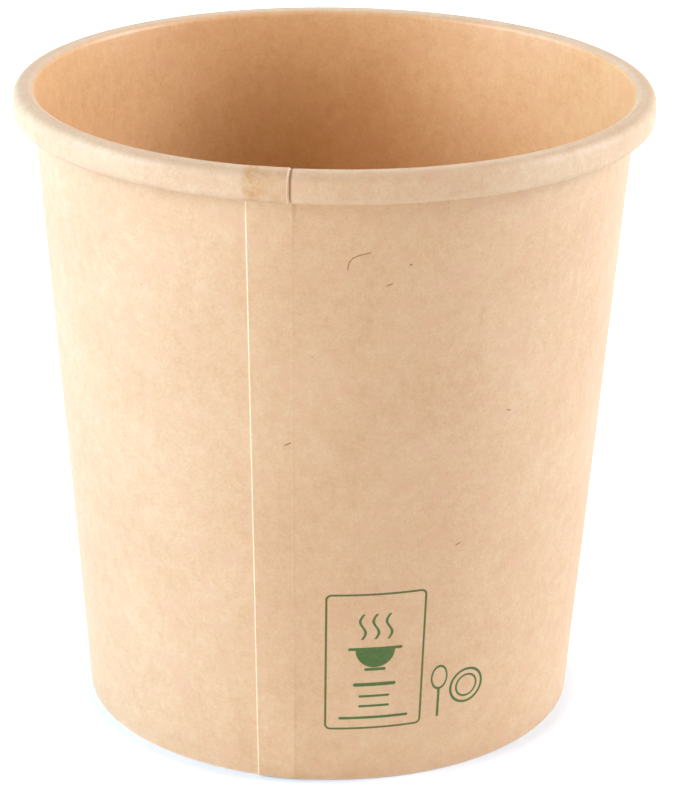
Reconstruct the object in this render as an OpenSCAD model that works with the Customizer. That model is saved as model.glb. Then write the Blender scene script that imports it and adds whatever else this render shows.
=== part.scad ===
/* [Cup] */
// Overall height, from the foot to the top of the rolled rim
cup_h = 99.3; // [70:0.1:140]
// Outer diameter of the rolled rim
rim_d = 98; // [85:0.1:130]
// Outer diameter of the wall at the foot
base_d = 77.1; // [65:0.1:84]

/* [Board] */
// Thickness of the sidewall board
wall_t = 0.4; // [0.25:0.01:0.5]
// Thickness of the base disc board
disc_t = 0.4; // [0.25:0.01:0.6]
// Clearance that the sealing coat fills on each side of the disc's skirt
seal_gap = 0.03; // [0.01:0.01:0.1]

/* [Rolled rim] */
// Height of the roll
curl_h = 4.8; // [4.6:0.1:7]
// How far the roll stands out from the wall below it
curl_overhang = 3.15; // [3.1:0.05:5]
// Bend at the drinking edge, where the wall turns outwards
lip_r = 1.1; // [1.05:0.05:1.4]
// Bend over the outer shoulder of the roll
shoulder_r = 1.7; // [1.2:0.1:1.8]
// Bend under the outer face of the roll
under_r = 1.3; // [1.1:0.1:1.4]
// Bend where the free edge tucks up inside the roll
tuck_r = 1.05; // [1.05:0.05:1.2]
// Height of the tucked edge above the underside of the roll
tuck_h = 2.4; // [1.6:0.1:3]
// Room between a doubled wall and the tucked edge
tuck_gap = 0.15; // [0.1:0.05:0.2]

/* [Base] */
// Height of the floor's upper face above the foot
floor_h = 9; // [8:0.1:15]
// Height of the hem that is folded up inside the disc's skirt
hem_h = 6.5; // [4:0.1:7]
// Bend at each side of the folded foot
foot_r = 0.4; // [0.3:0.05:0.45]
// Bend between the floor and its skirt
floor_r = 1; // [0.7:0.1:1.5]

/* [Side seam] */
// Direction of the outer cut edge of the lap, anticlockwise from +X seen from above
seam_turn = 254.2; // [0:0.1:330]
// Width of the lap, as an angle about the cup's axis
lap_turn = 8.4; // [4:0.1:14]
// Angle in which the outer layer settles back onto the round beyond the lap
settle_turn = 3.6; // [2:0.1:8]

/* [Hidden] */
$fn = 180;
kraft = [0.91, 0.79, 0.65];
kraft_disc = [0.80, 0.65, 0.49];
bend_steps = 5; // short flats that make up one bend
settle_steps = 3; // small steps in which the outer layer settles
margin = 0.1; // how far a cutter starts outside the face that it cuts
rim_r = rim_d / 2;
neck_z = cup_h - curl_h;
taper = atan((rim_r - curl_overhang - base_d / 2) / neck_z);
tuck_z = neck_z + tuck_h;
tuck_s = 2 * wall_t + tuck_gap;
pocket_w = disc_t + 2 * seal_gap;
lap_end = seam_turn + lap_turn;

// Point at height z that lies s outside the wall's inner face, in the half section
function on_wall(z, s) = [base_d / 2 + z * tan(taper) + (s - wall_t) / cos(taper), z];

// Points of a round about c from direction a to direction b, or the corner itself where r is nothing
function round(c, r, a, b) =
    r <= 0 ? [c] : [for (i = [0:bend_steps]) c + r * [cos(a + (b - a) * i / bend_steps), sin(a + (b - a) * i / bend_steps)]];

function reversed(p) = [for (i = [len(p) - 1:-1:0]) p[i]];

// Line d behind the sheet's inner face, from the top of the hem, round the foot and up into the wall
function foot_line(d) =
    let (
        z = max(wall_t - d, 0), // the foot is pressed flat, so a doubled sheet reaches no lower
        r = max(foot_r - wall_t + d, 0),
        s = -pocket_w - d
    )
    concat(
        [on_wall(hem_h, s)],
        round(on_wall(z + r, s + r), r, -180 - taper, -90),
        round(on_wall(z + r, d - r), r, -90, -taper)
    );

// Line d behind the sheet's inner face, over the rolled rim to the tucked free edge
function rim_line(d) =
    concat(
        round(on_wall(cup_h - lip_r, lip_r), lip_r - d, 180 - taper, 90),
        round([rim_r - shoulder_r, cup_h - shoulder_r], shoulder_r - d, 90, 0),
        round([rim_r - under_r, neck_z + under_r], under_r - d, 0, -90),
        round(on_wall(neck_z + tuck_r, tuck_s + tuck_r), tuck_r - d, -90, -180 - taper),
        [on_wall(tuck_z, tuck_s + d)]
    );

// Half section of the hemmed and rolled sheet between the lines a and b behind its inner face
module sheet_section(a, b) {
    polygon(concat(foot_line(a), rim_line(a), reversed(rim_line(b)), reversed(foot_line(b))));
}

// Half section of the layer that the settling outer sheet leaves open, from the floor to the tucked edge
module step_section(depth) {
    polygon(concat([on_wall(floor_h, -margin)], rim_line(-margin), reversed(rim_line(depth)), [on_wall(floor_h, depth)]));
}

// One blank of board wrapped to a cone, its ends lapped and sealed, its top rolled and its foot hemmed
module sidewall() {
    step_turn = settle_turn / settle_steps;
    lift = [for (i = [0:settle_steps - 1]) wall_t * (1 - (i + 0.5) / settle_steps)];
    color(kraft)
        difference() {
            union() {
                rotate_extrude()
                    sheet_section(0, wall_t);
                rotate_extrude(start = seam_turn, angle = lap_turn)
                    sheet_section(wall_t / 2, 2 * wall_t);
                for (i = [0:settle_steps - 1])
                    rotate_extrude(start = lap_end - 1, angle = 1 + (i + 1) * step_turn)
                        sheet_section(wall_t / 2, wall_t + lift[i]);
            }
            for (i = [0:settle_steps - 1])
                rotate_extrude(start = lap_end, angle = (i + 1) * step_turn)
                    step_section(lift[i]);
        }
}

// Line d behind the upper and outer face of the disc, from its centre to the lower edge of its skirt
function disc_line(d) =
    concat(
        [[0, floor_h - d]],
        round(on_wall(floor_h - floor_r, -seal_gap - floor_r), floor_r - d, 90, -taper),
        [on_wall(wall_t + seal_gap, -seal_gap - d)]
    );

// Round of board with its edge turned down into the pocket of the hem
module base_disc() {
    color(kraft_disc)
        rotate_extrude()
            polygon(concat(disc_line(0), reversed(disc_line(disc_t))));
}

sidewall();
base_disc();
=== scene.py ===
import math
import bpy
from mathutils import Matrix, Vector, noise


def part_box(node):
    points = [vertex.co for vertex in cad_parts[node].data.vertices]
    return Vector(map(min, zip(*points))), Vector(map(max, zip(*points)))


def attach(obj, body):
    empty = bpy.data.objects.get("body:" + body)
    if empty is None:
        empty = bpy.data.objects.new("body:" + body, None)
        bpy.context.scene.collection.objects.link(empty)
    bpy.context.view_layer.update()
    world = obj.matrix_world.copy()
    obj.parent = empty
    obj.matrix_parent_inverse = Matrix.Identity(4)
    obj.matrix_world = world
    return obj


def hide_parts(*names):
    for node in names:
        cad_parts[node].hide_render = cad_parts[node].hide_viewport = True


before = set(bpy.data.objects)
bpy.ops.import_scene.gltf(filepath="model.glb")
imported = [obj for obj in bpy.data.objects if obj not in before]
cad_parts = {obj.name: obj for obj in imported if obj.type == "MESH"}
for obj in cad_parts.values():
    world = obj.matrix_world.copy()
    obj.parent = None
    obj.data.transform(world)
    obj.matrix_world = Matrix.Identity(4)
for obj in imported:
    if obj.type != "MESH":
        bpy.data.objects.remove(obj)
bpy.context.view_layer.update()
mm = 0.001
print("frame loaded")


# The camera stands where the ellipses of the rim and the foot say that it stood.
view = {
    "place": (-0.000725, -0.469755, 0.225635),
    "pitch": 0.3634,           # radians below the horizon
    "yaw": 0.0033,             # towards +X
    "roll": 0.0122,
    "lens": 142.0,
    "sensor": 36.0,
}


def addCamera():
    pitch, yaw, roll = view["pitch"], view["yaw"], view["roll"]
    ahead = Vector((math.sin(yaw) * math.cos(pitch), math.cos(yaw) * math.cos(pitch), -math.sin(pitch)))
    right = ahead.cross(Vector((0, 0, 1))).normalized()
    up = right.cross(ahead)
    leanRight = right * math.cos(roll) + up * math.sin(roll)
    leanUp = up * math.cos(roll) - right * math.sin(roll)
    bpy.ops.object.camera_add()
    camera = bpy.context.object
    camera.name = "photoCamera"
    camera.data.lens = view["lens"]
    camera.data.sensor_width = view["sensor"]
    camera.data.clip_start = 0.01
    turned = Matrix((leanRight, leanUp, -ahead)).transposed().to_4x4()
    camera.matrix_world = Matrix.Translation(view["place"]) @ turned
    bpy.context.scene.camera = camera


addCamera()
print("camera placed")


# The cup as a whole, in mm. Its height and rim come from the frame.
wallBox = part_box("sidewall")
cup = {
    "height": wallBox[1][2] / mm,
    "rimRadius": wallBox[1][0] / mm,
    "footRadius": 38.55,       # outer face of the wall at the table
    "board": 0.4,
    "curlHeight": 4.8,
    "curlOverhang": 3.15,      # how far the roll stands out from the wall below it
    "pocket": 0.46,            # room for the disc's skirt inside the hem
    "floorHeight": 9.0,
    "seamTurn": 254.2,         # outer cut edge of the lap, in degrees anticlockwise from +X
    "lapTurn": 8.4,
}
neckHeight = cup["height"] - cup["curlHeight"]
taper = math.atan((cup["rimRadius"] - cup["curlOverhang"] - cup["footRadius"]) / neckHeight)
lean = math.degrees(taper)


def onWall(z, s):  # point of the half section at height z, s outside the wall's inner face
    radius = cup["footRadius"] + z * math.tan(taper) + (s - cup["board"]) / math.cos(taper)
    return radius, z


def bend(centre, radius, start, end, steps=8):  # points of a round, from one direction to another
    turns = [math.radians(start + (end - start) * i / steps) for i in range(steps + 1)]
    return [(centre[0] + radius * math.cos(t), centre[1] + radius * math.sin(t)) for t in turns]


def evenly(line, longest):  # the same line with points added along its straight stretches
    full = [line[0]]
    for here, there in zip(line, line[1:]):
        steps = max(1, math.ceil(math.dist(here, there) / longest))
        for i in range(1, steps + 1):
            full.append(tuple(a + (b - a) * i / steps for a, b in zip(here, there)))
    return full


def smoothRise(value, start, end):  # 0 before start, 1 after end
    t = min(max((value - start) / (end - start), 0), 1)
    return t * t * (3 - 2 * t)


def deselectAll():
    if bpy.context.mode != "OBJECT":
        bpy.ops.object.mode_set(mode="OBJECT")
    bpy.ops.object.select_all(action="DESELECT")


def spinSection(name, line, startTurn, turn, steps):  # a half section, spun about the cup's axis
    aim = math.radians(startTurn)
    points = [Vector((r * math.cos(aim), r * math.sin(aim), z)) * mm for r, z in line]
    deselectAll()
    bpy.ops.mesh.primitive_plane_add(size=mm, location=points[0])
    piece = bpy.context.object
    piece.name = name
    bpy.ops.object.transform_apply(location=True, rotation=True, scale=True)
    bpy.ops.object.mode_set(mode="EDIT")
    bpy.ops.mesh.select_all(action="SELECT")
    bpy.ops.mesh.merge(type="CENTER")
    for here, there in zip(points, points[1:]):
        bpy.ops.mesh.extrude_region_move(TRANSFORM_OT_translate={"value": there - here})
    bpy.ops.mesh.select_all(action="SELECT")
    bpy.ops.mesh.spin(steps=steps, angle=math.radians(turn), center=(0, 0, 0), axis=(0, 0, -1))
    return piece


def faceOut(piece, outwards):  # turns all faces one way, the piece's sides outwards or inwards
    bpy.ops.mesh.select_all(action="SELECT")
    bpy.ops.mesh.normals_make_consistent(inside=False)
    bpy.ops.object.mode_set(mode="OBJECT")
    side = 0
    for face in piece.data.polygons:
        side += face.area * face.normal.dot(Vector((face.center.x, face.center.y, 0)))
    if (side > 0) != outwards:
        bpy.ops.object.mode_set(mode="EDIT")
        bpy.ops.mesh.flip_normals()
        bpy.ops.object.mode_set(mode="OBJECT")


def finishSheet(piece):  # gives the sheet the board's thickness, with its cut edges in the second material
    thick = piece.modifiers.new("board", "SOLIDIFY")
    thick.thickness = cup["board"] * mm
    thick.offset = -1
    thick.use_even_offset = True
    thick.use_rim = True
    thick.material_offset_rim = 1
    bpy.ops.object.modifier_apply(modifier=thick.name)


# The sidewall: one blank of board, hemmed at the foot, rolled at the top and lapped at the front left.
sidewall = {
    "hemHeight": 6.5,
    "footBend": 0.4,
    "lipBend": 1.1,            # outer radii of the bends of the roll, from the drinking edge on
    "shoulderBend": 1.7,
    "underBend": 1.3,
    "tuckBend": 1.05,
    "tuckHeight": 2.4,         # free edge above the underside of the roll
    "tuckGap": 0.15,
    "valley": 0.07,            # shallow groove between the drinking edge and the shoulder
    "longestFlat": 2.4,
    "rings": 307,
    "ringTurn": 1.2,
    "coat": 0.02,              # sealing coat between the two layers of the lap
    "curlPress": 0.1,          # how far the roll is pressed in at the inner layer's end
    "settleTurn": 8.0,         # where the outer layer comes back to the round
    "swellFrom": (10.0, 26.0),     # heights between which the lap stops lying close and swells
    "rollFrom": (2.7, 0.4),        # distances below the roll in which the two layers press flush
    "gapDrop": 0.72,           # share of the lift that falls away at the gap
    "gapSlope": 0.16,
    "skive": 0.24,             # how much thinner the cut edges are
    "skiveTurn": 0.30,
    "edgeTurns": (0, 0.30, 1.7, 3.3, 5.0, 6.7, 7.9, 8.38, 8.72, 8.90, 9.5, 11.0, 13.0, 15.0),
    "gapTurn": 0.33,           # open groove beside the inner layer's end on the roll
    "wave": 0.13,              # unevenness of the wall
    "waveSize": (26.0, 38.0),  # across and upwards
    "calmFoot": (12.0, 34.0),
    "calmTop": (78.0, 93.0),
}


def wallLine():  # the blank's outer face, from the hem's free edge over the roll to the tucked edge
    board, height, rim = cup["board"], cup["height"], cup["rimRadius"]
    foot, lip, shoulder = sidewall["footBend"], sidewall["lipBend"], sidewall["shoulderBend"]
    under, tuck = sidewall["underBend"], sidewall["tuckBend"]
    hem = -cup["pocket"] - board
    tuckPlace = 2 * board + sidewall["tuckGap"]
    line = [onWall(sidewall["hemHeight"], hem)]
    line += bend(onWall(foot, hem + foot), foot, -180 - lean, -90, 6)
    line += bend(onWall(foot, board - foot), foot, -90, -lean, 6)
    line += bend(onWall(height - lip, lip), lip - board, 180 - lean, 90)
    line.append(((line[-1][0] + rim - shoulder) / 2, height - board - sidewall["valley"]))
    line += bend((rim - shoulder, height - shoulder), shoulder - board, 90, 0)
    line += bend((rim - under, neckHeight + under), under - board, 0, -90)
    line += bend(onWall(neckHeight + tuck, tuckPlace + tuck), tuck - board, -90, -180 - lean)
    line.append(onWall(neckHeight + sidewall["tuckHeight"], tuckPlace + board))
    return evenly(line, sidewall["longestFlat"])


def turnOf(ring):  # rings stand closer where the layers end
    if ring < len(sidewall["edgeTurns"]):
        return sidewall["edgeTurns"][ring]
    if ring == sidewall["rings"] - 1:
        return sidewall["rings"] * sidewall["ringTurn"] - sidewall["skiveTurn"]
    return ring * sidewall["ringTurn"]


def layerLift(turn, z):  # how far a layer of the lap stands outside the round
    lap, settle = cup["lapTurn"], sidewall["settleTurn"]
    doubled = cup["board"] + sidewall["coat"]
    under = turn > 359.5       # the inner layer lies below the outer one, at the same azimuth
    along = turn - 360 if under else turn
    swell = doubled * (1 - smoothRise(along, 0, lap + settle))
    held = doubled * min(max((lap + settle - along) / settle, 0), 1) ** 2
    body = held + (swell - held) * smoothRise(z, *sidewall["swellFrom"])
    away = max(along - lap, 0)
    gap, drop = sidewall["gapTurn"], sidewall["gapDrop"]
    close = drop * (1 - smoothRise(away, gap, gap + sidewall["gapSlope"])) + (1 - drop) * math.exp(-away)
    flush = (doubled - sidewall["curlPress"] * min(along / lap, 1)) * (close if away > 0 else 1)
    rollStart, rollEnd = (neckHeight - below for below in sidewall["rollFrom"])
    lift = body + (flush - body) * smoothRise(z, rollStart, rollEnd)
    return lift - doubled if under else lift


def unevenness(place):  # slow waves of a hand-sized sheet, none at the foot and few at the roll
    x, y, z = place / mm
    across, upwards = sidewall["waveSize"]
    calm = smoothRise(z, *sidewall["calmFoot"]) * (1 - 0.6 * smoothRise(z, *sidewall["calmTop"]))
    return sidewall["wave"] * calm * noise.noise(Vector((x / across, y / across, z / upwards + 3.7)))


def shapeSidewall(piece, count):  # laps the ends and takes the machine's evenness away
    normals = [vertex.normal.copy() for vertex in piece.data.vertices]
    for vertex, normal in zip(piece.data.vertices, normals):
        ring = vertex.index // count
        turn = turnOf(ring)
        aside = Matrix.Rotation(math.radians(turn - ring * sidewall["ringTurn"]), 3, "Z")
        place, normal = aside @ vertex.co, aside @ normal
        z = place.z / mm
        shift = normal * layerLift(turn, z)
        if z < 1:
            shift.z = 0
        outwards = Vector((place.x, place.y, 0)).normalized()
        shift += outwards * unevenness(place)
        place += shift * mm
        if turn > 359.5:
            place.z = max(place.z, 0.05 * mm)
        place.z = min(place.z, (cup["height"] - cup["board"]) * mm)
        vertex.co = place


def thinCutEdges(piece, count):  # skives the cut edges, down to the pale inside of the board
    outer = count * (sidewall["rings"] + 1)      # the first half of the points is the outer face
    last = 2 * outer - count                     # the inner face's last ring
    normals = [vertex.normal.copy() for vertex in piece.data.vertices]
    for index in range(count):
        piece.data.vertices[index].co -= normals[index + count] * sidewall["skive"] * mm
        piece.data.vertices[last + index].co -= normals[last - count + index] * sidewall["skive"] * mm
    for face in piece.data.polygons:
        if max(face.vertices) < 2 * count or min(face.vertices) >= last - count:
            face.material_index = 1


def modelSidewall():
    line = wallLine()
    rings, step = sidewall["rings"], sidewall["ringTurn"]
    piece = spinSection("sidewall_board", line, cup["seamTurn"], rings * step, rings)
    faceOut(piece, True)
    shapeSidewall(piece, len(line))
    finishSheet(piece)
    thinCutEdges(piece, len(line))
    bpy.ops.object.shade_smooth_by_angle(angle=math.radians(40))
    return piece


# The base disc: a round of board with its edge turned down into the pocket of the hem.
baseDisc = {
    "bend": 1.0,
    "gap": 0.03,
    "steps": 180,
    "longestFlat": 2.5,
    "sag": 0.35,               # how far the floor hangs in the middle
    "bead": 0.18,              # pressed ring near the edge
    "beadRadius": 33.0,
    "beadWidth": 1.1,
    "uneven": 0.06,            # slow unevenness of the floor, and its size
    "unevenSize": 14.0,
    "sagReach": (0.0, 34.0),   # radii from the full sag to none
    "unevenReach": (26.0, 35.0),
}


def discLine():  # the upper and outer face, from the centre to the lower edge of the skirt
    gap, radius = baseDisc["gap"], baseDisc["bend"]
    floor = cup["floorHeight"]
    line = [(0, floor)]
    line += bend(onWall(floor - radius, -gap - radius), radius, 90, -lean, 7)
    line.append(onWall(cup["board"] + gap, -gap))
    return evenly(line, baseDisc["longestFlat"])


def modelBaseDisc():
    piece = spinSection("base_disc_board", discLine(), 0, 360, baseDisc["steps"])
    bpy.ops.mesh.select_all(action="SELECT")
    bpy.ops.mesh.remove_doubles(threshold=0.01 * mm)
    faceOut(piece, True)
    for vertex in piece.data.vertices:
        x, y, z = vertex.co / mm
        radius = math.hypot(x, y)
        if z > cup["floorHeight"] - 0.01:
            middle = 1 - smoothRise(radius, *baseDisc["sagReach"])
            bead = math.exp(-((radius - baseDisc["beadRadius"]) / baseDisc["beadWidth"]) ** 2)
            size = baseDisc["unevenSize"]
            uneven = baseDisc["uneven"] * noise.noise(Vector((x / size, y / size, 1.3)))
            uneven = uneven * (1 - smoothRise(radius, *baseDisc["unevenReach"]))
            vertex.co.z += (uneven - baseDisc["sag"] * middle - baseDisc["bead"] * bead) * mm
    finishSheet(piece)
    bpy.ops.object.shade_smooth_by_angle(angle=math.radians(40))
    return piece


class Wire:  # a socket that plain arithmetic works on
    def __init__(self, graph, socket):
        self.graph = graph
        self.socket = socket

    def maths(self, operation, *values):
        return self.graph.add("Math", {"operation": operation}, values)

    def __add__(self, other):
        return self.maths("ADD", self, other)

    def __sub__(self, other):
        return self.maths("SUBTRACT", self, other)

    def __rsub__(self, other):
        return self.maths("SUBTRACT", other, self)

    def __mul__(self, other):
        return self.maths("MULTIPLY", self, other)

    def __truediv__(self, other):
        return self.maths("DIVIDE", self, other)

    def __abs__(self):
        return self.maths("ABSOLUTE", self)

    __radd__ = __add__
    __rmul__ = __mul__


class Graph:  # the nodes of a material or of the world
    def __init__(self, owner):
        owner.use_nodes = True
        self.tree = owner.node_tree

    def add(self, kind, settings=None, inputs=(), output=0):
        node = self.tree.nodes.new("ShaderNode" + kind)
        for key, value in (settings or {}).items():
            if key == "stops":
                fillRamp(node.color_ramp, value)
            else:
                setattr(node, key, value)
        pairs = inputs.items() if isinstance(inputs, dict) else enumerate(inputs)
        for key, value in pairs:
            self.put(node.inputs[key], value)
        return Wire(self, node.outputs[output])

    def put(self, socket, value):
        if isinstance(value, Wire):
            self.tree.links.new(value.socket, socket)
        else:
            socket.default_value = value

    def blend(self, factor, first, second, mode="MIX"):
        settings = {"data_type": "RGBA", "blend_type": mode}
        return self.add("Mix", settings, {0: factor, 6: colourOf(first), 7: colourOf(second)}, output=2)

    def fade(self, value, start, end):  # 0 before start, 1 after end
        settings = {"interpolation_type": "SMOOTHSTEP"}
        return self.add("MapRange", settings, {"Value": value, "From Min": start, "From Max": end})

    def band(self, value, stops, unit=1.0):  # 1 between the inner two stops, 0 outside the outer two
        first, second, third, fourth = (stop * unit for stop in stops)
        return self.fade(value, first, second) * (1 - self.fade(value, third, fourth))

    def more(self, first, second):
        return self.add("Math", {"operation": "MAXIMUM"}, (first, second))

    def less(self, first, second):
        return self.add("Math", {"operation": "MINIMUM"}, (first, second))

    def length(self, x, y):
        return self.add("Math", {"operation": "SQRT"}, (x * x + y * y,))

    def shown(self):  # 1 where the camera sees it, straight or in a reflection
        straight = self.add("LightPath", output="Is Camera Ray")
        mirrored = self.add("LightPath", output="Is Glossy Ray")
        return self.more(straight, mirrored)


class Surface(Graph):  # a material, with places in mm on the piece
    def __init__(self, name):
        self.material = bpy.data.materials.new(name)
        super().__init__(self.material)
        self.shader = self.tree.nodes["Principled BSDF"]
        here = self.add("TexCoord", output="Object")
        self.place = self.add("VectorMath", {"operation": "SCALE"}, {"Vector": here, "Scale": 1 / mm})
        self.x = self.add("SeparateXYZ", None, (self.place,), "X")
        self.y = self.add("SeparateXYZ", None, (self.place,), "Y")
        self.z = self.add("SeparateXYZ", None, (self.place,), "Z")

    def noise(self, scale, detail=2.0, rough=0.5, twist=0.0):
        inputs = {"Vector": self.place, "Scale": scale, "Detail": detail, "Roughness": rough}
        inputs["Distortion"] = twist
        return self.add("TexNoise", None, inputs)


def colourOf(value):
    return value if isinstance(value, Wire) else (*value, 1)


def fillRamp(ramp, stops):
    while len(ramp.elements) < len(stops):
        ramp.elements.new(0.5)
    for element, (position, colour) in zip(ramp.elements, stops):
        element.position = position
        element.color = (*colour, 1)


# Kraft board, with linear colours.
kraft = {
    "pale": (0.664, 0.524, 0.351),
    "middle": (0.619, 0.456, 0.284),
    "dark": (0.568, 0.388, 0.229),
    "rosy": (0.631, 0.428, 0.293),
    "fibre": (0.330, 0.190, 0.100),
    "hair": (0.240, 0.120, 0.055),
    "cutEdge": (0.820, 0.660, 0.470),
    "cutShade": (0.740, 0.580, 0.400),
    "scorch": (0.480, 0.285, 0.110),
    "paleFibresAndHighlight": (0.900, 0.775, 0.600),      # pale fibres where a cut shows, and painted highlight on the drinking edge and the foot's fold
    # painted shade colour, for the crease under the roll and the gap on the roll
    "gap": (0.300, 0.170, 0.090),
    # the coated inside: warmer from its coat, and brighter as painted light inside the cup
    "insideCoatAndLightTint": (1.26, 1.12, 0.92),
    # painted shade: the disc darkened, as the bottom of the cup lies in shade
    "discShadeTint": (0.90, 0.76, 0.58),
    # painted light: the roll paler and cooler, as if lit from above
    "rollLightTint": (1.0, 1.045, 1.10),
    "roughPlain": 0.52,
    "roughCoated": 0.38,
    "roughCut": 0.75,
    "specular": 0.5,
    "bump": 0.18,
    "bumpDepth": 0.2,                   # mm
    "blotches": 0.40,                   # strength of each size of the paper's cloudiness
    "flocks": 0.44,
    "specks": 0.30,
    "grain": 0.72,
}


def boardTone(g):  # cloudy paper: slow blotches, soft flocks and fine grain
    blotches = g.noise(0.07, detail=2.0)
    flocks = g.noise(0.5, detail=2.0, rough=0.55)
    specks = g.noise(1.3, detail=2.0, rough=0.6)
    grain = g.noise(3.0, detail=3.0, rough=0.8)
    coarse = (blotches - 0.5) * kraft["blotches"] + (flocks - 0.5) * kraft["flocks"]
    return 0.5 + coarse + (specks - 0.5) * kraft["specks"] + (grain - 0.5) * kraft["grain"]


def boardColour(g, tone):
    stops = [(0.30, kraft["dark"]), (0.50, kraft["middle"]), (0.72, kraft["pale"])]
    colour = g.add("ValToRGB", {"stops": stops}, (tone,))
    rosy = g.fade(g.noise(0.35, detail=2.0, twist=0.6), 0.50, 0.74)
    return g.blend(rosy * 0.6, colour, kraft["rosy"])


def boardRelief(g, tone):  # fine felt, and the cloudiness of the paper
    return (g.noise(3.5, detail=2.0) - 0.5) * 0.6 + (tone - 0.5) * 0.5


def looseFibres(g):  # short dark hairs where a wandering line crosses a rare patch, and a few dots
    wander = g.noise(0.3, detail=1.5, twist=1.2)
    line = 1 - g.fade(abs(wander - 0.5), 0.0, 0.006)
    patch = g.fade(g.noise(0.9, detail=0.0), 0.74, 0.80)
    spot = g.add("TexVoronoi", {"feature": "F1"}, {"Vector": g.place, "Scale": 0.16}, "Distance")
    dots = 1 - g.fade(spot, 0.010, 0.028)
    return g.more(line * patch, dots * 0.6)


def finishBoard(g, colour, roughness, relief):
    g.put(g.shader.inputs["Base Color"], colour)
    g.put(g.shader.inputs["Roughness"], roughness)
    g.put(g.shader.inputs["Specular IOR Level"], kraft["specular"])
    inputs = {"Height": relief, "Strength": kraft["bump"], "Distance": kraft["bumpDepth"] * mm}
    g.put(g.shader.inputs["Normal"], g.add("Bump", None, inputs))
    return g.material


def discBoardInShade(name):
    g = Surface(name)
    tone = boardTone(g)
    colour = g.blend(looseFibres(g) * 0.5, boardColour(g, tone), kraft["fibre"])
    # painted shade: the disc darkened, as the bottom of the cup lies in shade
    colour = g.blend(1.0, colour, kraft["discShadeTint"], "MULTIPLY")
    return finishBoard(g, colour, kraft["roughCoated"], boardRelief(g, tone))


def cutBoard(name):  # the pale inside of the board at its cut edges
    g = Surface(name)
    tone = g.noise(2.5, detail=3.0, rough=0.7)
    stops = [(0.3, kraft["cutShade"]), (0.6, kraft["cutEdge"])]
    colour = g.add("ValToRGB", {"stops": stops}, (tone,))
    return finishBoard(g, colour, kraft["roughCut"], (tone - 0.5) * 1.2)


# The green print. Places are azimuths from the front, in degrees, and heights; its own sizes are in mm.
printed = {
    "ink": (0.026, 0.104, 0.005),
    "lineInk": (0.056, 0.100, 0.006),
    "soft": 0.05,
    "frame": (10.0, 20.5),
    "frameHalf": (7.45, 11.4),
    "frameCorner": 0.8,
    "frameLine": 0.34,
    "bowlRadius": 3.0,
    "bowlTop": 2.0,
    "bowlEdge": ((-3.9, 2.2), (3.9, 2.2)),
    "bowlFoot": ((-1.4, -1.3), (1.4, -1.3)),
    "bowlLine": 0.5,
    "steam": (-2.0, 0.0, 2.0),
    "steamSpan": (3.7, 3.9, 8.0, 8.2),
    "symbolLine": 0.42,
    "bars": ((-3.9, 3.0, 0.6), (-5.9, 2.2, 0.4), (-7.6, 2.2, 0.4), (-9.6, 5.2, 0.45)),
    "spoon": (24.9, 14.0),
    "plate": (31.9, 14.0),
    "plateRadius": 2.8,
    "wellRadius": 1.8,
    "wellLine": 0.34,
}


def placeOnWall(g, turn, place):  # lengths along the wall from a place given by azimuth and height
    azimuth, height = place
    reach = cup["footRadius"] + height * math.tan(taper)
    return turn * reach - math.radians(azimuth) * reach, g.z - height


def thinLine(g, distance, width):
    soft = printed["soft"]
    return 1 - g.fade(abs(distance), width / 2 - soft, width / 2 + soft)


def stroke(g, x, z, start, end, width):  # a straight line with round ends
    (x0, z0), (x1, z1) = start, end
    lengthSquared = (x1 - x0) ** 2 + (z1 - z0) ** 2
    alongIt = ((x - x0) * (x1 - x0) + (z - z0) * (z1 - z0)) / lengthSquared
    held = g.less(g.more(alongIt, 0.0), 1.0)
    away = g.length(x - x0 - held * (x1 - x0), z - z0 - held * (z1 - z0))
    return thinLine(g, away, width)


def roundedFrame(g, x, z):
    halfX, halfZ = printed["frameHalf"]
    corner = printed["frameCorner"]
    overX = abs(x) - (halfX - corner)
    overZ = abs(z) - (halfZ - corner)
    outside = g.length(g.more(overX, 0.0), g.more(overZ, 0.0))
    return thinLine(g, outside + g.less(g.more(overX, overZ), 0.0) - corner, printed["frameLine"])


def steamingBowl(g, x, z):
    soft, top, radius = printed["soft"], printed["bowlTop"], printed["bowlRadius"]
    under = 1 - g.fade(z, top - soft, top + soft)
    marks = (1 - g.fade(g.length(x, z - top), radius - soft, radius + soft)) * under
    for start, end in (printed["bowlEdge"], printed["bowlFoot"]):
        marks = g.more(marks, stroke(g, x, z, start, end, printed["bowlLine"]))
    rising = g.band(z, printed["steamSpan"])
    sway = g.add("Math", {"operation": "SINE"}, (z * 1.6,)) * 0.42
    for middle in printed["steam"]:
        marks = g.more(marks, thinLine(g, x - middle - sway, printed["symbolLine"]) * rising)
    return marks


def printMarks(g, turn):
    x, z = placeOnWall(g, turn, printed["frame"])
    marks = steamingBowl(g, x, z)
    for height, half, width in printed["bars"]:
        marks = g.more(marks, stroke(g, x, z, (-half, height), (half, height), width))
    edge = roundedFrame(g, x, z)
    line = printed["symbolLine"]
    x, z = placeOnWall(g, turn, printed["spoon"])
    marks = g.more(marks, stroke(g, x, z, (0, -4.2), (0, 0.4), line))
    marks = g.more(marks, thinLine(g, g.length(x * 1.5, z - 2.4) - 1.9, line))
    x, z = placeOnWall(g, turn, printed["plate"])
    away = g.length(x, z)
    marks = g.more(marks, thinLine(g, away - printed["plateRadius"], line))
    marks = g.more(marks, thinLine(g, away - printed["wellRadius"], printed["wellLine"]))
    return marks, edge


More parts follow.
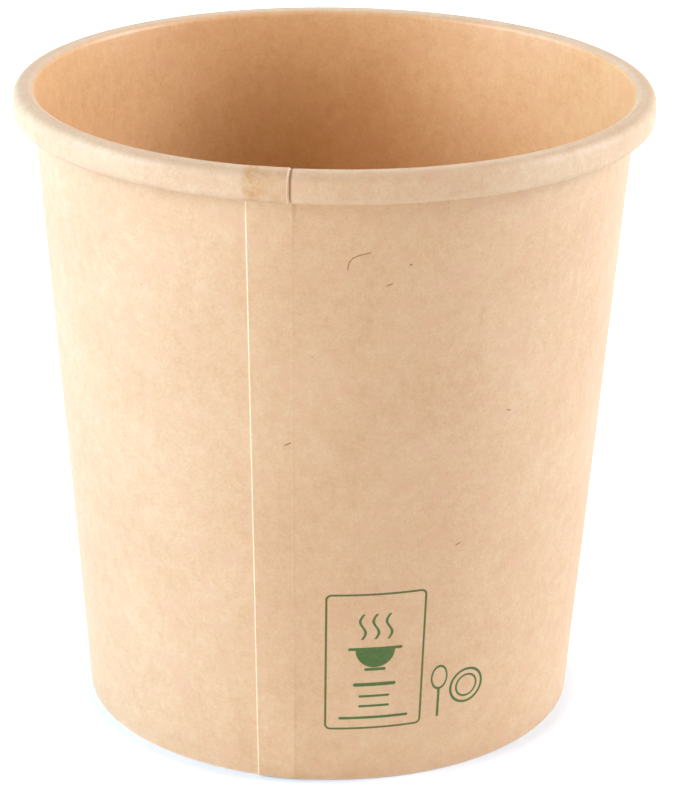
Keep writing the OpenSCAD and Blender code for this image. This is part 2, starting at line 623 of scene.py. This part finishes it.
# Fibres that stand out on the front: place, points from there, width.
frontFibres = (
    (
        (3.5, 86.0),
        ((-0.70, -1.90), (-0.66, -1.30), (-0.44, -0.70), (0.0, -0.16), (0.8, 0.20), (2.5, 0.62)),
        0.17,
    ),
    ((14.1, 84.5), ((-0.04, 0.0), (0.06, 0.02)), 0.30),
    ((10.3, 81.6), ((-0.30, -0.12), (0.36, 0.16)), 0.20),
    ((-8.4, 56.6), ((-0.36, -0.20), (0.36, 0.22)), 0.22),
    ((27.2, 38.7), ((-0.30, -0.10), (0.34, 0.18)), 0.20),
    ((37.2, 59.1), ((-0.25, 0.10), (0.25, -0.10)), 0.20),
)


# Marks of making and use on the wall, with painted shade and painted highlights among them. Azimuths are
# in degrees from the front, radii and heights in mm.
wallMarks = {
    "scorchStart": (-15.9, -14.3),
    "scorchEnd": (-7.45, -7.25),
    "scorchFades": (-13.6, -11.4),
    "scorchWander": 2.0,
    "scorch": 0.9,
    "tucked": 0.40,                             # painted shade in the crease under the roll
    "lipHighlightRadii": (45.95, 46.05, 46.50, 46.80),    # radii of a painted highlight along the drinking edge
    "lipHeight": (98.5, 98.7),
    "lipHighlight": 0.25,
    "cutLine": (-7.82, -7.72, -7.42, -7.34),    # the inner layer's end on the roll
    "cutWear": 0.8,
    # heights of a painted highlight along the foot's fold
    "footHighlightHeights": (0.12, 0.42),
    "footHighlight": 0.6,
    "gapShadeAndScorch": (-7.35, -7.25, -7.08, -6.90),     # painted shade in the gap beside that end, partly scorch
    "grooveShade": 0.8,
    "crease": -7.4,                             # the same end, felt through the outer layer
    "creaseHeight": 0.5,
    "fibres": 0.85,
}


def scorchMask(g, turn):  # mottled brown on the roll, where the lap was heated to seal it
    degrees = turn * math.degrees(1)
    wandering = degrees + (g.noise(0.6, detail=2.0) - 0.5) * wallMarks["scorchWander"]
    along = g.fade(wandering, *wallMarks["scorchStart"]) * (1 - g.fade(degrees, *wallMarks["scorchEnd"]))
    fierce = 1 - g.fade(wandering, *wallMarks["scorchFades"]) * 0.40
    mottled = g.fade(g.noise(0.9, detail=4.0, rough=0.7), 0.34, 0.66)
    return along * fierce * (0.30 + mottled * 0.70)


def sidewallBoard():
    g = Surface("kraftWall")
    turn = g.add("Math", {"operation": "ARCTAN2"}, (g.x, g.y * -1.0))
    radius = g.length(g.x, g.y)
    tone = boardTone(g)
    colour = g.blend(looseFibres(g) * 0.5, boardColour(g, tone), kraft["fibre"])
    middle = g.z * math.tan(taper) + (cup["footRadius"] - cup["board"] / 2)
    outside = g.fade(radius - middle, -0.05, 0.05)
    rolled = g.fade(g.z, neckHeight - 0.1, neckHeight + 0.1)
    roll = rolled * outside
    plain = outside * (1 - rolled)
    # the coated inside: warmer from its coat, and made brighter as painted light inside the cup
    insideCoatAndLight = g.blend(1.0, colour, kraft["insideCoatAndLightTint"], "MULTIPLY")
    # painted light: the roll made paler and cooler, as if lit from above
    paintedRollLight = g.blend(1.0, colour, kraft["rollLightTint"], "MULTIPLY")
    colour = g.blend(roll, colour, paintedRollLight)
    colour = g.blend((1 - outside) * g.fade(g.z, 8.0, 8.2), colour, insideCoatAndLight)
    colour = g.blend(scorchMask(g, turn) * roll * wallMarks["scorch"], colour, kraft["scorch"])
    # painted shade: the wall's outer face darkened just under the roll, where the roll shades it
    tucked = 1 - g.fade(abs(g.z - (neckHeight - 0.12)), 0.05, 0.30)
    colour = g.blend(tucked * outside * wallMarks["tucked"], colour, kraft["gap"])
    # painted highlight: a pale line along the drinking edge, where the lip catches light
    lip = g.band(radius, wallMarks["lipHighlightRadii"]) * g.fade(g.z, *wallMarks["lipHeight"])
    cutLine = g.band(turn, wallMarks["cutLine"], math.radians(1)) * roll
    # painted highlight: a pale line along the foot's fold, where it catches the floor's light
    paintedFootHighlight = (1 - g.fade(g.z, *wallMarks["footHighlightHeights"])) * outside
    # pale fibres at the cut line, and painted highlights on the drinking edge and the foot
    paleFibresAndHighlight = g.more(lip * wallMarks["lipHighlight"], cutLine * wallMarks["cutWear"])
    paleFibresAndHighlight = g.more(paleFibresAndHighlight, paintedFootHighlight * wallMarks["footHighlight"])
    colour = g.blend(paleFibresAndHighlight, colour, kraft["paleFibresAndHighlight"])
    # painted shade in the gap beside the inner layer's end on the roll, partly a scorched edge
    gapShadeAndScorch = g.band(turn, wallMarks["gapShadeAndScorch"], math.radians(1)) * roll
    colour = g.blend(gapShadeAndScorch * wallMarks["grooveShade"], colour, kraft["gap"])
    for place, points, width in frontFibres:
        x, z = placeOnWall(g, turn, place)
        for start, end in zip(points, points[1:]):
            hair = stroke(g, x, z, start, end, width) * plain
            colour = g.blend(hair * wallMarks["fibres"], colour, kraft["hair"])
    marks, edge = printMarks(g, turn)
    uneven = 0.93 + g.fade(g.noise(1.6, detail=3.0, rough=0.7), 0.3, 0.6) * 0.06
    colour = g.blend(marks * plain * uneven, colour, printed["ink"])
    colour = g.blend(edge * plain * uneven, colour, printed["lineInk"])
    roughness = kraft["roughCoated"] + outside * (kraft["roughPlain"] - kraft["roughCoated"])
    creaseAway = (turn - math.radians(wallMarks["crease"])) * radius
    crease = (1 - g.fade(abs(creaseAway), 0.05, 0.30)) * plain
    relief = boardRelief(g, tone) + crease * wallMarks["creaseHeight"]
    return finishBoard(g, colour, roughness, relief)


wall = modelSidewall()
print("sidewall modelled", len(wall.data.vertices), "points")
disc = modelBaseDisc()
print("base disc modelled", len(disc.data.vertices), "points")
wall.data.materials.append(sidewallBoard())
wall.data.materials.append(cutBoard("cutEdgeWall"))
disc.data.materials.append(discBoardInShade("kraftDisc"))
disc.data.materials.append(cutBoard("cutEdgeDisc"))
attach(wall, "root")
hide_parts("sidewall")
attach(disc, "root")
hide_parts("base_disc")
print("materials given")


# Studio: a pale floor, with a painted shadow round the foot, and soft lamps around and above the cup.
studio = {
    "floorSize": 4.0,
    "floorColour": 0.90,
    "floorRough": 0.9,
    "floorGlow": (0.62, 0.62, 0.62),
    "paintedShadowGlow": (0.0, 0.12, 0.22),    # a lower, bluish glow close to the foot: painted blue-grey shadow round the foot
    "shadeReach": (39.0, 45.0),
    "farReach": (150.0, 900.0),        # where the glow rises to white
    "lampSize": 0.6,
    "lampAim": (0.0, 0.0, 0.05),
    "world": 0.02,
}
lamps = {
    "leftLow": {"place": (-0.8, -0.43, 0.25), "power": 2.11, "colour": (0.79, 1.07, 1.14)},
    "leftHigh": {"place": (-0.72, -0.38, 0.5), "power": 3.32, "colour": (1.24, 0.94, 0.82)},
    "leftSide": {"place": (-0.9, -0.05, 0.3), "power": 3.96, "colour": (0.57, 0.96, 1.47)},
    "leftTop": {"place": (-0.9, 0.12, 0.62), "power": 3.04, "colour": (0.90, 1.05, 1.05)},
    "rightSide": {"place": (0.9, 0.05, 0.3), "power": 4.21, "colour": (0.83, 1.00, 1.17)},
    "rightTop": {"place": (0.9, 0.12, 0.62), "power": 7.14, "colour": (1.12, 0.96, 0.91)},
    "frontLow": {"place": (0.0, -0.9, 0.02), "power": 3.32, "colour": (1.39, 0.95, 0.67)},
    "behindHigh": {"place": (0.0, 0.62, 0.66), "power": 1.60, "colour": (1.20, 0.97, 0.86)},
}


def addLamp(name, lamp):
    deselectAll()
    bpy.ops.object.light_add(type="AREA", location=lamp["place"])
    light = bpy.context.object
    light.name = name
    light.data.shape = "DISK"
    light.data.size = studio["lampSize"]
    light.data.energy = lamp["power"]
    light.data.color = lamp["colour"]
    aim = Vector(studio["lampAim"]) - Vector(lamp["place"])
    light.rotation_euler = aim.to_track_quat("-Z", "Y").to_euler()


def addFloor():
    deselectAll()
    bpy.ops.mesh.primitive_plane_add(size=studio["floorSize"])
    floor = bpy.context.object
    floor.name = "studioFloor"
    g = Surface("paleFloor")
    g.put(g.shader.inputs["Base Color"], colourOf((studio["floorColour"],) * 3))
    g.put(g.shader.inputs["Roughness"], studio["floorRough"])
    away = g.length(g.x, g.y)
    # painted shadow: close to the foot the floor glows less and bluer
    paintedShadowTint = g.blend(g.fade(away, *studio["shadeReach"]), studio["paintedShadowGlow"], studio["floorGlow"])
    tint = g.blend(g.fade(away, *studio["farReach"]), paintedShadowTint, (1, 1, 1))
    glow = g.add("Emission", None, {"Color": tint, "Strength": 1.0})
    both = g.add("AddShader", None, (Wire(g, g.shader.outputs[0]), glow))
    mixed = g.add("MixShader", None, (g.shown(), Wire(g, g.shader.outputs[0]), both))
    g.put(g.tree.nodes["Material Output"].inputs["Surface"], mixed)
    floor.data.materials.append(g.material)


def lightWorld():
    world = bpy.data.worlds.new("studioAir")
    bpy.context.scene.world = world
    g = Graph(world)
    strength = studio["world"] + g.shown() * (1 - studio["world"])
    g.put(g.tree.nodes["Background"].inputs["Color"], (1, 1, 1, 1))
    g.put(g.tree.nodes["Background"].inputs["Strength"], strength)


for name, lamp in lamps.items():
    addLamp(name, lamp)
addFloor()
lightWorld()
bpy.context.scene.view_settings.view_transform = "Standard"
print("studio lit")
